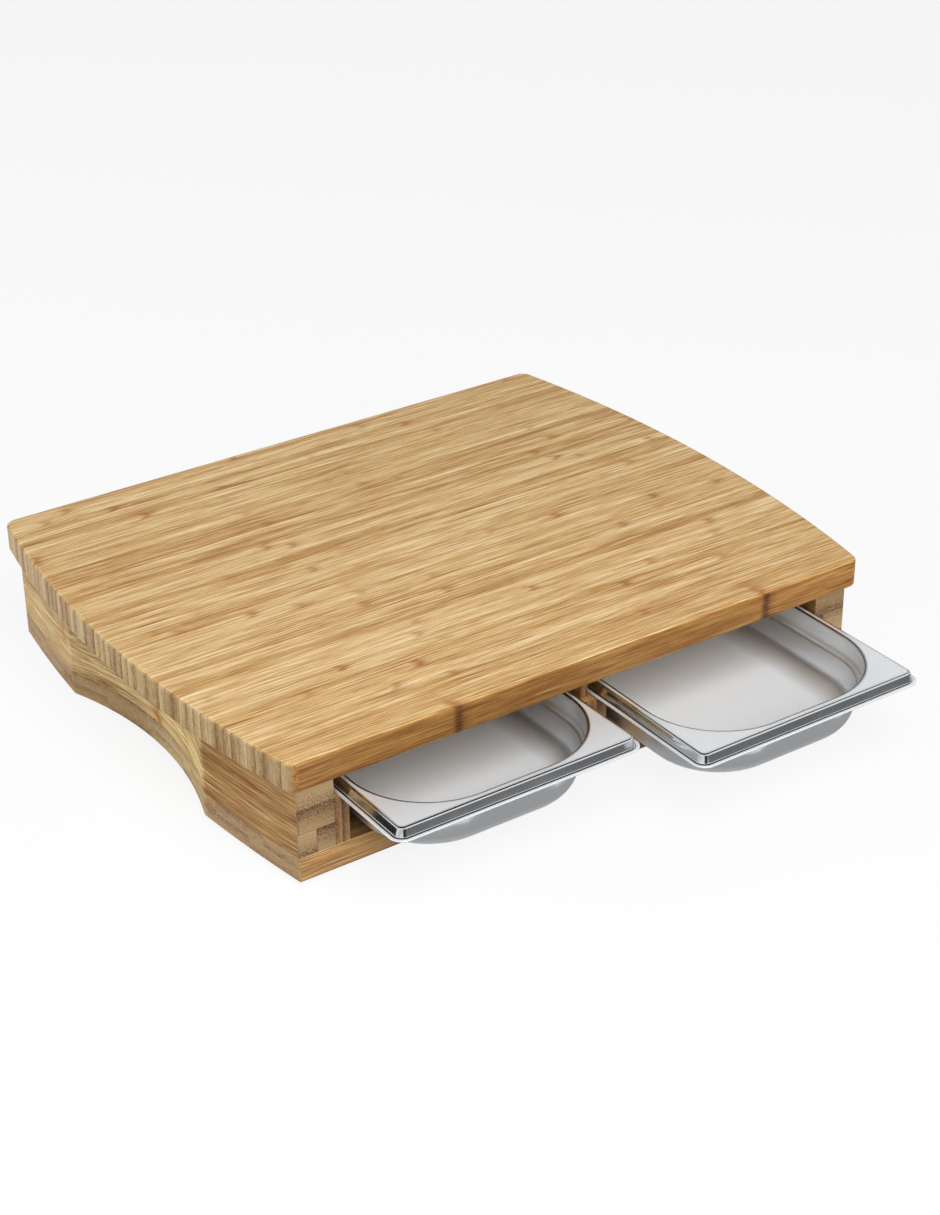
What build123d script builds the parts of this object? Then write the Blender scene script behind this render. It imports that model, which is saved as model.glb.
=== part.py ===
from build123d import *
import os
from math import sqrt

# Raised bamboo cutting board with two steel trays that slide out from under it.
# Millimetres. +X is the right side, the trays pull out towards -Y, +Z is up.
# The origin is on the table, under the middle of the board.

# ---- Steel trays: one-third food pans, drawn from sheet --------------------------------
tray_width = 176.0  # over the outer lip, side to side
tray_length = 325.0  # over the outer lip, front to back
tray_depth = 39.5  # from the flange's top to the underside of the floor
tray_sheet = 0.8  # thickness of the steel
tray_lip_width = 3.0  # flat lip outside the rim's step
tray_rim_drop = 7.0  # from the flange's top to the lip's underside
tray_flange_corner = 6.0  # radius of the flange's corners
tray_rim_round = 1.4  # radius along the flange's outer edge
tray_flange_width = 7.0  # flat flange beside the middle of each wall
tray_well_corner = 53.0  # radius of the well's corners
tray_shoulder_depth = 14.0  # from the flange's top to the stacking shoulder
tray_shoulder_width = 2.0  # how far the wall steps in there
tray_wall_taper = 7.0  # degrees that the lower wall leans in
tray_floor_round = 14.0  # radius between wall and floor

# ---- Room that the trays have in the base ----------------------------------------------
tray_side_gap = 2.65  # between a tray's lip and the wood beside it
tray_slide_gap = 0.2  # between a tray's lip and the runner under it
tray_floor_gap = 1.2  # between a tray's floor and the bottom board
tray_head_room = 7.8  # between a tray's flange and the cutting board
tray_recess = 23.0  # a closed tray's front lip lies this far behind the base's front
tray_back_gap = 0.5  # between a closed tray and the back wall

# How far each tray is pulled out in the stored pose, from closed
tray_left_pulled = 86.5
tray_right_pulled = 125.5

# ---- Base ------------------------------------------------------------------------------
foot_height = 3.0
bottom_thickness = 16.5
panel_width = 25.0  # a side panel's width at its front and back ends
base_bulge = 14.5  # how far each side bows out between its ends
runner_width = 10.0
divider_width = 27.0
fin_thickness = 5.4
fin_setback = 5.0  # the fin's front lies this far behind the block's front
fin_tongue = 3.0  # how deep the fin sits in its grooves, above and below
back_wall_thickness = 16.5
back_wall_slot = 6.0  # open slot between the back wall and the cutting board
base_ease = 0.6  # small bevel on the base's upright corners

# Scoop in each side, where the fingers reach under the board's edge
scoop_length = 176.0
scoop_wall = 20.4  # wood left between the scoop and the tray bay

# ---- Cutting board ---------------------------------------------------------------------
board_thickness = 19.5
board_side_overhang = 6.0  # past the base, at the corners
board_front_overhang = 5.0  # past the base, front and back
board_bulge = 19.0
board_corner_radius = 8.0
board_edge_radius = 2.0

# ---- Fasteners and feet ----------------------------------------------------------------
dowel_diameter = 8.0
dowel_in_board = 12.0
dowel_in_panel = 20.0
wall_dowel_in_panel = 14.0
wall_dowel_in_wall = 22.0
wall_dowel_inset = 12.75  # from the back wall's lower or upper edge to a level dowel
end_fastener_inset = 36.5  # from the base's front or back to its end screws and dowels
screw_diameter = 4.0
screw_length = 40.0
screw_head_diameter = 8.0
screw_head_height = 2.4
screw_tip_diameter = 0.6
screw_sink = 0.6  # the heads lie this far inside the bottom board
nail_diameter = 1.8
nail_length = 22.0
nail_head_diameter = 3.6
nail_head_height = 0.9
foot_top_diameter = 22.0
foot_base_diameter = 19.0
foot_edge_inset = 30.0  # from the base's front or back to a foot's middle
foot_side_inset = 20.0  # from a side panel's inner face to a foot's middle
foot_screw_diameter = 3.0
foot_screw_length = 13.0
foot_screw_head_diameter = 6.4
foot_screw_head_height = 1.5
foot_screw_lift = 0.6  # the head stays this far above the table
drive_width = 0.9  # arms of the cross recess in a screw's head
drive_span = 3.6
drive_depth = 1.0

# ---- Places that follow from those sizes -----------------------------------------------
bay_inner = fin_thickness / 2  # a tray bay runs from here ...
bay_outer = bay_inner + tray_width + 2 * tray_side_gap  # ... to here
tray_middle = (bay_inner + bay_outer) / 2

base_depth = tray_recess + tray_length + tray_back_gap + back_wall_thickness
base_width = 2 * (bay_outer + panel_width)
board_width = base_width + 2 * board_side_overhang
board_depth = base_depth + 2 * board_front_overhang
base_front = -base_depth / 2
base_back = base_depth / 2

bottom_top = foot_height + bottom_thickness
tray_bottom = bottom_top + tray_floor_gap
flange_top = tray_bottom + tray_depth
lip_bottom = flange_top - tray_rim_drop
ledge_top = lip_bottom - tray_slide_gap
board_underside = flange_top + tray_head_room
board_top = board_underside + board_thickness

closed_tray_middle = base_front + tray_recess + tray_length / 2
fastener_line = bay_outer + scoop_wall / 2  # along the middle of a side panel's thinnest part
side_pitch = base_depth / 2 - end_fastener_inset
fastener_rows = (-side_pitch, 0, side_pitch)
nail_rows = (-side_pitch / 2, side_pitch / 2)
foot_x = bay_outer - foot_side_inset
foot_y = base_depth / 2 - foot_edge_inset


# ---- Shapes used more than once --------------------------------------------------------
def bowed_plan(width, depth, bulge):
    """A rectangle in plan whose left and right sides bow out."""
    x = width / 2
    y = depth / 2
    front = Line((-x, -y), (x, -y))
    right = ThreePointArc((x, -y), (x + bulge, 0), (x, y))
    back = Line((x, y), (-x, y))
    left = ThreePointArc((-x, y), (-x - bulge, 0), (-x, -y))
    return make_face([front, right, back, left])


def bow_at(width, depth, bulge, y):
    """Half the bowed outline's width at a distance y from its middle."""
    radius = ((depth / 2) ** 2 + bulge**2) / (2 * bulge)
    return width / 2 + bulge - radius + sqrt(radius**2 - y**2)


def block(x_low, x_high, y_low, y_high, z_low, z_high):
    """A plain bar between two corners."""
    size = (x_high - x_low, y_high - y_low, z_high - z_low)
    middle = ((x_low + x_high) / 2, (y_low + y_high) / 2, (z_low + z_high) / 2)
    return Pos(*middle) * Box(*size)


def upright(shape):
    """The shape's vertical edges."""
    return shape.edges().filter_by(Axis.Z)


def base_plan():
    """The bottom board's outline: bowed sides with a finger scoop in each."""
    plan = bowed_plan(base_width, base_depth, base_bulge)
    half = scoop_length / 2
    deepest = bay_outer + scoop_wall
    depth = bow_at(base_width, base_depth, base_bulge, half) - deepest
    radius = (half**2 + depth**2) / (2 * depth)
    for side in (-1, 1):
        plan -= Pos(side * (deepest + radius), 0) * Circle(radius)
    return plan


def rod(diameter, length):
    """A round rod that stands on the origin."""
    return extrude(Circle(diameter / 2), length)


def cross_recess():
    """The recess for a cross-head driver, cut upwards into a head that lies on the origin."""
    arms = Box(drive_span, drive_width, drive_depth) + Box(drive_width, drive_span, drive_depth)
    return Pos(0, 0, drive_depth / 2) * arms


def wood_screw():
    """A countersunk screw, head down on the origin, with its point up."""
    taper = Pos(0, 0, screw_head_height / 2) * Cone(
        screw_head_diameter / 2, screw_diameter / 2, screw_head_height
    )
    point = screw_diameter
    shank = rod(screw_diameter, screw_length - point)
    tip = Pos(0, 0, screw_length - point / 2) * Cone(
        screw_diameter / 2, screw_tip_diameter / 2, point
    )
    return taper + shank + tip - cross_recess()


def screw_hole():
    """The room that a countersunk screw takes, with its sunk head."""
    sink = rod(screw_head_diameter, screw_sink)
    taper = Pos(0, 0, screw_sink + screw_head_height / 2) * Cone(
        screw_head_diameter / 2, screw_diameter / 2, screw_head_height
    )
    return sink + taper + Pos(0, 0, screw_sink) * rod(screw_diameter, screw_length)


def at_each(places, shape):
    """One separate copy of the shape at each place."""
    return [Pos(*place) * shape for place in places]


def cut(body, tools):
    """The body with every tool taken out of it."""
    for tool in tools:
        body = body - tool
    return body


# ---- Where the fasteners go ------------------------------------------------------------
back_wall_middle = base_back - back_wall_thickness / 2
screw_places = [
    (side * fastener_line, y, foot_height)
    for side in (-1, 1)
    for y in fastener_rows
]
screw_places += [(0, y, foot_height) for y in fastener_rows]
screw_places += [(side * tray_middle, back_wall_middle, foot_height) for side in (-1, 1)]

dowel_places = [
    (side * fastener_line, y, board_underside)
    for side in (-1, 1)
    for y in fastener_rows
]
back_wall_top = board_underside - back_wall_slot
wall_dowel_heights = (bottom_top + wall_dowel_inset, back_wall_top - wall_dowel_inset)
nail_height = (bottom_top + ledge_top) / 2
nail_places = [(side, y) for side in (-1, 1) for y in nail_rows]
foot_places = {
    "foot_front_left": (-foot_x, -foot_y),
    "foot_front_right": (foot_x, -foot_y),
    "foot_back_left": (-foot_x, foot_y),
    "foot_back_right": (foot_x, foot_y),
}


def panel_dowels():
    """The upright dowels between the side panels and the cutting board."""
    pin = Pos(0, 0, -dowel_in_panel) * rod(dowel_diameter, dowel_in_board + dowel_in_panel)
    return at_each(dowel_places, pin)


def wall_dowels():
    """The level dowels between the back wall's ends and the side panels."""
    length = wall_dowel_in_panel + wall_dowel_in_wall
    pins = []
    for side in (-1, 1):
        middle = bay_outer + (wall_dowel_in_panel - wall_dowel_in_wall) / 2
        for height in wall_dowel_heights:
            turned = Rot(0, 90, 0) * Cylinder(dowel_diameter / 2, length)
            pins.append(Pos(side * middle, back_wall_middle, height) * turned)
    return pins


def runner_nails():
    """Nails through the runners into the side panels, heads towards the bay."""
    shank = rod(nail_diameter, nail_length)
    head = rod(nail_head_diameter, nail_head_height)
    nail = shank + head
    nails = []
    for side, y in nail_places:
        face = side * (bay_outer - runner_width)
        nails.append(Pos(face, y, nail_height) * Rot(0, side * 90, 0) * nail)
    return nails


def foot_screw():
    """A pan-head screw, head down, whose head rests inside the foot."""
    head = rod(foot_screw_head_diameter, foot_screw_head_height)
    shank = rod(foot_screw_diameter, foot_screw_length)
    return Pos(0, 0, foot_screw_lift) * (head + shank - cross_recess())


def foot_screw_hole():
    """The room for a foot's screw, open to the table so that a driver reaches it."""
    head = rod(foot_screw_head_diameter, foot_screw_lift + foot_screw_head_height)
    return head + rod(foot_screw_diameter, foot_screw_lift + foot_screw_length)


screw_holes = at_each(screw_places, screw_hole())
foot_screw_holes = at_each([(x, y, 0) for x, y in foot_places.values()], foot_screw_hole())


# ---- Wooden pieces ---------------------------------------------------------------------
def make_top_board():
    plan = bowed_plan(board_width, board_depth, board_bulge)
    plan = fillet(plan.vertices(), board_corner_radius)
    body = Pos(0, 0, board_underside) * extrude(plan, board_thickness)
    rims = body.faces().sort_by(Axis.Z)
    body = fillet(rims[0].edges() + rims[-1].edges(), board_edge_radius)
    return cut(body, panel_dowels() + [fin_bar()])


def make_bottom_board():
    body = Pos(0, 0, foot_height) * extrude(base_plan(), bottom_thickness)
    body = chamfer(upright(body), base_ease)
    return cut(body, screw_holes + foot_screw_holes)


def make_side_panel(side):
    plan = base_plan() & Pos(side * (bay_outer + base_width / 2), 0) * Rectangle(
        base_width, 2 * base_depth
    )
    height = board_underside - bottom_top
    body = Pos(0, 0, bottom_top) * extrude(plan, height)
    outside = [
        edge for edge in upright(body) if abs(edge.center().X) > bay_outer + panel_width / 2
    ]
    body = chamfer(outside, base_ease)
    return cut(body, screw_holes + panel_dowels() + wall_dowels() + runner_nails())


def make_runner(side):
    inside = bay_outer - runner_width
    low, high = sorted((side * inside, side * bay_outer))
    y_high = base_back - back_wall_thickness
    body = block(low, high, base_front, y_high, bottom_top, ledge_top)
    return cut(body, runner_nails())


def make_divider_block():
    half = divider_width / 2
    y_high = base_back - back_wall_thickness
    body = block(-half, half, base_front, y_high, bottom_top, ledge_top)
    return cut(body, screw_holes + [fin_bar()])


def fin_bar():
    half = fin_thickness / 2
    y_low = base_front + fin_setback
    y_high = base_back - back_wall_thickness
    return block(-half, half, y_low, y_high, ledge_top - fin_tongue, board_underside + fin_tongue)


def make_back_wall():
    y_low = base_back - back_wall_thickness
    body = block(-bay_outer, bay_outer, y_low, base_back, bottom_top, back_wall_top)
    return cut(body, screw_holes + wall_dowels())


# ---- Steel trays -----------------------------------------------------------------------
def pan(width, length, corner, top, height, taper=0.0):
    """A solid pan shape that hangs down from the height top, narrowing by taper degrees."""
    return Pos(0, 0, top) * extrude(
        RectangleRounded(width, length, corner), amount=-height, taper=taper
    )


def well_form(wall):
    """The well's inside when wall is 0, or its outside when wall is the sheet's thickness."""
    width = tray_width - 2 * (tray_lip_width + tray_flange_width)
    length = tray_length - 2 * (tray_lip_width + tray_flange_width)
    upper = pan(
        width + 2 * wall,
        length + 2 * wall,
        tray_well_corner + wall,
        flange_top,
        tray_shoulder_depth + wall,
    )
    step = tray_shoulder_width
    floor = tray_bottom + tray_sheet - wall
    lower = pan(
        width - 2 * step + 2 * wall,
        length - 2 * step + 2 * wall,
        tray_well_corner - step + wall,
        flange_top,
        flange_top - floor,
        tray_wall_taper,
    )
    lower = fillet(lower.faces().sort_by(Axis.Z)[0].edges(), tray_floor_round + wall)
    return upper + lower


def rim_form(wall):
    """The raised rim: its outside when wall is 0, or its inside when wall is the sheet."""
    width = tray_width - 2 * tray_lip_width - 2 * wall
    length = tray_length - 2 * tray_lip_width - 2 * wall
    height = tray_rim_drop - wall
    body = pan(width, length, tray_flange_corner - wall, flange_top - wall, height)
    top = body.faces().sort_by(Axis.Z)[-1]
    return fillet(top.edges(), tray_rim_round - wall)


def make_tray(side, pulled):
    corner = tray_flange_corner + tray_lip_width
    lip = pan(tray_width, tray_length, corner, lip_bottom + tray_sheet, tray_sheet)
    shell = lip + rim_form(0) - rim_form(tray_sheet)
    shell = shell + well_form(tray_sheet) - well_form(0)
    return Pos(side * tray_middle, closed_tray_middle - pulled, 0) * shell


# ---- Feet ------------------------------------------------------------------------------
def make_foot(x, y):
    body = Pos(0, 0, foot_height / 2) * Cone(
        foot_base_diameter / 2, foot_top_diameter / 2, foot_height
    )
    return Pos(x, y, 0) * (body - foot_screw_hole())


# ---- Every piece, by name --------------------------------------------------------------
pieces = {
    "top_board": make_top_board(),
    "bottom_board": make_bottom_board(),
    "side_panel_left": make_side_panel(-1),
    "side_panel_right": make_side_panel(1),
    "runner_left": make_runner(-1),
    "runner_right": make_runner(1),
    "divider_block": make_divider_block(),
    "divider_fin": fin_bar(),
    "back_wall": make_back_wall(),
    "tray_left": make_tray(-1, tray_left_pulled),
    "tray_right": make_tray(1, tray_right_pulled),
    "panel_dowels": Compound(children=panel_dowels()),
    "back_wall_dowels": Compound(children=wall_dowels()),
    "base_screws": Compound(
        children=at_each([(x, y, z + screw_sink) for x, y, z in screw_places], wood_screw())
    ),
    "runner_nails": Compound(children=runner_nails()),
    "foot_screws": Compound(
        children=at_each([(x, y, 0) for x, y in foot_places.values()], foot_screw())
    ),
}
for foot_name, (foot_mid_x, foot_mid_y) in foot_places.items():
    pieces[foot_name] = make_foot(foot_mid_x, foot_mid_y)

os.makedirs("parts", exist_ok=True)
for node_name, piece in pieces.items():
    export_step(piece, f"parts/{node_name}.step")
    print(f"{node_name}: {piece.volume / 1000:.1f} cm3")
print(f"board {board_width + 2 * board_bulge:.1f} x {board_depth:.1f}, {board_top:.1f} high")
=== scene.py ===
# %% [markdown]
# # A bamboo cutting board with two steel trays
#
# The real object is a thick bamboo board on a low bamboo base. Two steel food trays lie on
# ledges in the base and slide out to the front, so that cut food can be swept into them.
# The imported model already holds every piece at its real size, in metres, with the table at
# z = 0 and the trays pulling out towards -Y. This script gives each piece its finish, and
# replaces those whose solid is too plain to look at from close by.

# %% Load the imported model
import math

import bpy
from mathutils import Matrix, Vector


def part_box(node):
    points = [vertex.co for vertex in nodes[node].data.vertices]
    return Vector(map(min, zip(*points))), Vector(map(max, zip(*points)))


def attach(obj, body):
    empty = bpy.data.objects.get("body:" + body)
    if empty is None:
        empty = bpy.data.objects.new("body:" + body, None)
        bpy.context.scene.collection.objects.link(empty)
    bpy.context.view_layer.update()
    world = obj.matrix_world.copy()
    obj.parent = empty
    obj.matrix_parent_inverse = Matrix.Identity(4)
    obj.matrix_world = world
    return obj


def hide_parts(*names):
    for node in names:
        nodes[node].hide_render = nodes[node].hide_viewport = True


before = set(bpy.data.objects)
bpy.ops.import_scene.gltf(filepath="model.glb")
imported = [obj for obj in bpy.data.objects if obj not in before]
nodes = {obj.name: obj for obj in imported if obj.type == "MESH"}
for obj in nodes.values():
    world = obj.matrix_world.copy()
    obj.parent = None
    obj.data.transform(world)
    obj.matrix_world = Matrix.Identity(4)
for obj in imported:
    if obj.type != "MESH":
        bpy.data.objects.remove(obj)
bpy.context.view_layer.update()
print("pieces in the packed model:", len(nodes))

mm = 0.001

# %% [markdown]
# ## Camera
#
# A camera is easiest to aim as a photographer does it: a point to look at, the distance,
# the two angles and the lens. The photograph was taken from the left and above with a long
# lens, and it hangs over by less than one degree. The image is taller than it is wide, so
# the lens is measured against the height of the frame.

# %% Camera
look_at = Vector((-27.5, -94.0, 87.5)) * mm
camera_distance = 1.5251
camera_azimuth = math.radians(-34.10)
camera_elevation = math.radians(29.04)
camera_roll = math.radians(-0.73)

camera_data = bpy.data.cameras.new("camera")
camera_data.lens = 71.90
camera_data.sensor_width = 36.0
camera = bpy.data.objects.new("camera", camera_data)
bpy.context.scene.collection.objects.link(camera)

turn = (
    Matrix.Rotation(camera_azimuth, 4, "Z")
    @ Matrix.Rotation(math.pi / 2 - camera_elevation, 4, "X")
    @ Matrix.Rotation(camera_roll, 4, "Z")
)
backwards = turn.to_3x3() @ Vector((0, 0, 1))
camera.matrix_world = Matrix.Translation(look_at + backwards * camera_distance) @ turn
bpy.context.scene.camera = camera
print("camera stands at", [round(v, 3) for v in camera.matrix_world.translation])

# %% [markdown]
# ## A short way to write node trees
#
# The bamboo is worked out from a point's place on the piece, so that it runs through the
# wood as real grain does, and some pieces are grown from a rule. Both are node trees. They
# get long, so a few small classes keep them readable: each call adds one node, wires what
# it is given and hands back the node or its result.


# %% A chain of nodes
class Chain:
    """A node tree, written as a chain of short calls."""

    def __init__(self, tree):
        self.tree = tree
        self.tree.nodes.clear()

    def add(self, kind, inputs=None, **settings):
        node = self.tree.nodes.new(kind)
        for key, value in settings.items():
            setattr(node, key, value)
        for key, value in (inputs or {}).items():
            if isinstance(value, bpy.types.NodeSocket):
                self.tree.links.new(value, node.inputs[key])
            else:
                node.inputs[key].default_value = value
        return node

    def math(self, operation, *values):
        node = self.add("ShaderNodeMath", dict(enumerate(values)), operation=operation)
        return node.outputs[0]

    def vector(self, x, y, z):
        return self.add("ShaderNodeCombineXYZ", {"X": x, "Y": y, "Z": z}).outputs[0]


# %% A recipe for a material
class Recipe(Chain):
    """A material, with the few kinds of node that the finishes are made of."""

    def __init__(self, name):
        self.material = bpy.data.materials.new(name)
        self.material.use_nodes = True
        super().__init__(self.material.node_tree)

    def noise(self, place, scale=1.0, detail=2.0, roughness=0.5):
        inputs = {"Vector": place, "Scale": scale, "Detail": detail, "Roughness": roughness}
        return self.add("ShaderNodeTexNoise", inputs).outputs["Fac"]

    def chance(self, place):
        """Three random numbers from 0 to 1 that stay the same all over one cell."""
        node = self.add("ShaderNodeTexWhiteNoise", {"Vector": place}, noise_dimensions="3D")
        return self.add("ShaderNodeSeparateColor", {0: node.outputs["Color"]}).outputs

    def between(self, value, low, high, new_low=0.0, new_high=1.0, smooth=False):
        """The value's place from low to high, stretched to the new range."""
        inputs = {"Value": value, 1: low, 2: high, 3: new_low, 4: new_high}
        kind = "SMOOTHSTEP" if smooth else "LINEAR"
        node = self.add("ShaderNodeMapRange", inputs, interpolation_type=kind)
        return node.outputs["Result"]

    def mix(self, share, first, second, blend="MIX"):
        inputs = {0: share, 6: first, 7: second}
        node = self.add("ShaderNodeMix", inputs, data_type="RGBA", blend_type=blend)
        return node.outputs[2]

    def tone(self, parts):
        """A middle tone, moved by how far each field swings from its own middle."""
        total = 0.5
        for field, share in parts:
            swing = self.math("SUBTRACT", field, 0.5)
            total = self.math("ADD", total, self.math("MULTIPLY", swing, share))
        return total

    def ramp(self, value, stops):
        node = self.add("ShaderNodeValToRGB", {"Fac": value})
        points = node.color_ramp.elements
        while len(points) < len(stops):
            points.new(0.5)
        for point, (place, colour) in zip(points, stops):
            point.position = place
            point.color = colour
        return node.outputs["Color"]

    def finish(self, **sockets):
        """The glossy shader that every solid finish here ends in."""
        inputs = {key.replace("_", " ").title(): value for key, value in sockets.items()}
        shader = self.add("ShaderNodeBsdfPrincipled", inputs)
        self.add("ShaderNodeOutputMaterial", {"Surface": shader.outputs[0]})
        return self.material


def srgb(red, green, blue):
    """A colour as a screen shows it, 0 to 255, as the linear colour that shaders use."""
    linear = [
        c / 12.92 if c <= 0.04045 else ((c + 0.055) / 1.055) ** 2.4
        for c in (red / 255, green / 255, blue / 255)
    ]
    return (*linear, 1.0)


# %% [markdown]
# ## Pieces grown from a rule
#
# What repeats, and the cutting board with its bowed sides, is grown by Geometry Nodes. The
# sizes are named inputs of the tree. The result is turned into one plain mesh.


# %% A new object
def link(piece_name, mesh):
    """A new object at the origin, with its place in its mesh."""
    thing = bpy.data.objects.new(piece_name, mesh)
    bpy.context.scene.collection.objects.link(thing)
    return thing


# %% A rule for a shape
class Rule(Chain):
    """A geometry tree with named sizes, which ends in real faces and one material."""

    def __init__(self, name, sizes):
        super().__init__(bpy.data.node_groups.new(name, "GeometryNodeTree"))
        face = self.tree.interface
        face.new_socket("Start", in_out="INPUT", socket_type="NodeSocketGeometry")
        for size in sizes:
            face.new_socket(size, in_out="INPUT", socket_type="NodeSocketFloat")
        face.new_socket("Material", in_out="INPUT", socket_type="NodeSocketMaterial")
        face.new_socket("Shape", in_out="OUTPUT", socket_type="NodeSocketGeometry")
        self.size = self.add("NodeGroupInput").outputs

    def shape(self, kind, inputs=None, **settings):
        """Adds a node and returns the geometry it makes."""
        return self.add(kind, inputs, **settings).outputs[0]

    def move(self, shape, x=0.0, y=0.0, z=0.0):
        place = self.vector(x, y, z)
        return self.shape("GeometryNodeTransform", {"Geometry": shape, "Translation": place})

    def join(self, kind, socket, shapes, **settings):
        """A node that takes several shapes at one socket."""
        node = self.add(kind, **settings)
        for shape in shapes:
            self.tree.links.new(shape, node.inputs[socket])
        return node

    def finish(self, shape):
        real = self.shape("GeometryNodeRealizeInstances", {"Geometry": shape})
        coated = self.shape(
            "GeometryNodeSetMaterial", {"Geometry": real, "Material": self.size["Material"]}
        )
        self.add("NodeGroupOutput", {"Shape": coated})
        return self.tree


# %% Grow a piece
def grow(name, tree, start, material, sizes):
    """A plain mesh, grown by a rule from a few starting points."""
    mesh = bpy.data.meshes.new(name)
    mesh.from_pydata(start, [], [])
    thing = link(name, mesh)
    rule = thing.modifiers.new("rule", "NODES")
    rule.node_group = tree
    values = dict(sizes, Material=material)
    for item in tree.interface.items_tree:
        if item.name in values:
            rule[item.identifier] = values[item.name]
    evaluated = thing.evaluated_get(bpy.context.evaluated_depsgraph_get())
    grown = bpy.data.meshes.new_from_object(evaluated)
    thing.modifiers.remove(rule)
    thing.data = grown
    grown.name = name
    print(name, "has", len(grown.polygons), "faces")
    return thing


# %% [markdown]
# ## Bamboo
#
# Bamboo board is glued up from long bars, each sawn from the wall of a hollow stem. Three
# directions matter in a bar. Along the grain its fibres run as fine streaks, broken every
# 20 to 30 cm by a brown joint of the stem. Through the old wall the fibres go from few and
# pale to many and brown, which gives each bar a light and a dark side. Where a bar is cut
# across, the fibres show as dots.
#
# One recipe makes all of it from the point's place in space, so streaks turn into dots by
# themselves wherever a face cuts the grain. It is told which axis is which, and how the
# bars of that piece are glued.


# %% Which bar a point lies in
def find_bar(r, wood):
    """Where a point lies in the glued-up wood, as sockets by name."""
    coordinates = r.add("ShaderNodeTexCoord").outputs
    xyz = r.add("ShaderNodeSeparateXYZ", {0: coordinates["Object"]}).outputs
    facing = r.add("ShaderNodeSeparateXYZ", {0: coordinates["Normal"]}).outputs
    grain, wall = wood["grain"], wood["wall"]
    bar = {
        "along": xyz[grain],
        "through": xyz[wall],
        "third": xyz[3 - grain - wall],
        "depth": xyz["Y"],
    }

    count = r.math("SUBTRACT", bar["through"], wood["wall_start"])
    count = r.math("DIVIDE", count, wood["wall_size"])
    bar["row"] = r.math("FLOOR", count)
    bar["row_share"] = r.math("FRACT", count)

    # Bars of the next row are shifted, as bricks are
    shift = r.math("MULTIPLY", bar["row"], 0.3 * wood["face_size"])
    count = r.math("ADD", r.math("SUBTRACT", bar["third"], wood["face_start"]), shift)
    count = r.math("DIVIDE", count, wood["face_size"])
    bar["column"] = r.math("FLOOR", count)
    bar["column_share"] = r.math("FRACT", count)
    bar["luck"] = r.chance(r.vector(bar["row"], bar["column"], 3.0))
    bar["more_luck"] = r.chance(r.vector(bar["row"], bar["column"], 8.0))

    # The dense, dark side of a bar is up or down by chance
    flipped = r.math("GREATER_THAN", bar["luck"][2], 0.5)
    bar["dense"] = r.math("ABSOLUTE", r.math("SUBTRACT", bar["row_share"], flipped))

    # How far the face cuts the grain, and whether it shows a bar's broad side
    bar["cut"] = r.between(r.math("ABSOLUTE", facing[grain]), 0.25, 0.8, smooth=True)
    bar["broad_side"] = r.between(r.math("ABSOLUTE", facing[wall]), 0.5, 0.9, smooth=True)
    return bar


# %% Fibres along a bar
def add_fibres(r, bar, wood):
    """Streaks of three widths, and the tone that they add up to."""
    far = r.math("MULTIPLY", bar["luck"][0], 40.0)
    far = r.math("ADD", far, r.math("MULTIPLY", bar["row"], 3.1))
    along = r.math("ADD", bar["along"], far)

    def streak(per_metre, wall_scale, face_scale, **settings):
        place = r.vector(
            r.math("MULTIPLY", along, per_metre),
            r.math("MULTIPLY", bar["through"], wall_scale),
            r.math("MULTIPLY", bar["third"], face_scale * wood["third_scale"]),
        )
        return r.noise(place, **settings)

    bar["fine"] = streak(24.0, 1500.0, 1100.0, detail=3.0, roughness=0.7)
    bar["medium"] = streak(8.0, 420.0, 200.0, detail=1.0)
    bar["wash"] = streak(9.0, 100.0, 60.0, detail=2.0)
    bar["dash"] = streak(55.0, 1300.0, 900.0, detail=1.0)

    parts = (
        (bar["fine"], 3.1),
        (bar["medium"], 0.5),
        (bar["wash"], 0.45),
        (bar["luck"][1], 0.28 * wood["bar_contrast"]),
        (bar["dense"], -0.16),
    )
    bar["tone"] = r.tone(parts)


# %% Joints of the stem
def joint_mark(r, bar, wood):
    """How much a point belongs to a joint, a flame that frays into fibres, and its brown."""
    pitch = wood["joint_pitch"]

    # The first row's joints begin at a known place, all others by chance
    first = r.math("LESS_THAN", bar["row"], 0.5)
    scatter = r.math("MULTIPLY", bar["more_luck"][0], r.math("SUBTRACT", 1.0, first))
    count = r.math("SUBTRACT", bar["along"], wood["joint_start"])
    count = r.math("ADD", r.math("DIVIDE", count, pitch), scatter)
    nearest = r.math("ROUND", count)
    offset = r.math("MULTIPLY", r.math("SUBTRACT", count, nearest), pitch)

    # Sharp on one side and drawn out on the other, furthest along the bar's middle
    side = r.math("ABSOLUTE", r.math("SUBTRACT", bar["row_share"], 0.5))
    bend = r.math("MULTIPLY", side, r.between(bar["broad_side"], 0.0, 1.0, 7 * mm, 0.0))
    reach = r.between(bar["broad_side"], 0.0, 1.0, 23 * mm, 8 * mm)
    fray = r.math("MULTIPLY", r.math("SUBTRACT", bar["fine"], 0.5), reach)
    offset = r.math("ADD", offset, r.math("ADD", bend, fray))
    rise = r.between(offset, -3 * mm, 0.0, smooth=True)
    fade = r.between(offset, 1 * mm, 12 * mm, 1.0, 0.0, smooth=True)
    core = r.between(r.math("ABSOLUTE", offset), 1.5 * mm, 4.5 * mm, 1.0, 0.0, smooth=True)
    mark = r.math(
        "ADD",
        r.math("MULTIPLY", r.math("MULTIPLY", rise, fade), 0.5),
        r.math("MULTIPLY", core, 0.5),
    )
    mark = r.math("MULTIPLY", mark, r.between(bar["dash"], 0.35, 0.6, 0.55, 1.0))

    luck = r.chance(r.vector(bar["row"], nearest, 5.0))
    strength = r.math("MAXIMUM", r.between(luck[0], 0.25, 1.0, 0.2, 1.0), first)
    brown = r.mix(bar["broad_side"], joint_brown, edge_joint_brown)
    return r.math("MULTIPLY", mark, strength), brown


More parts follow.
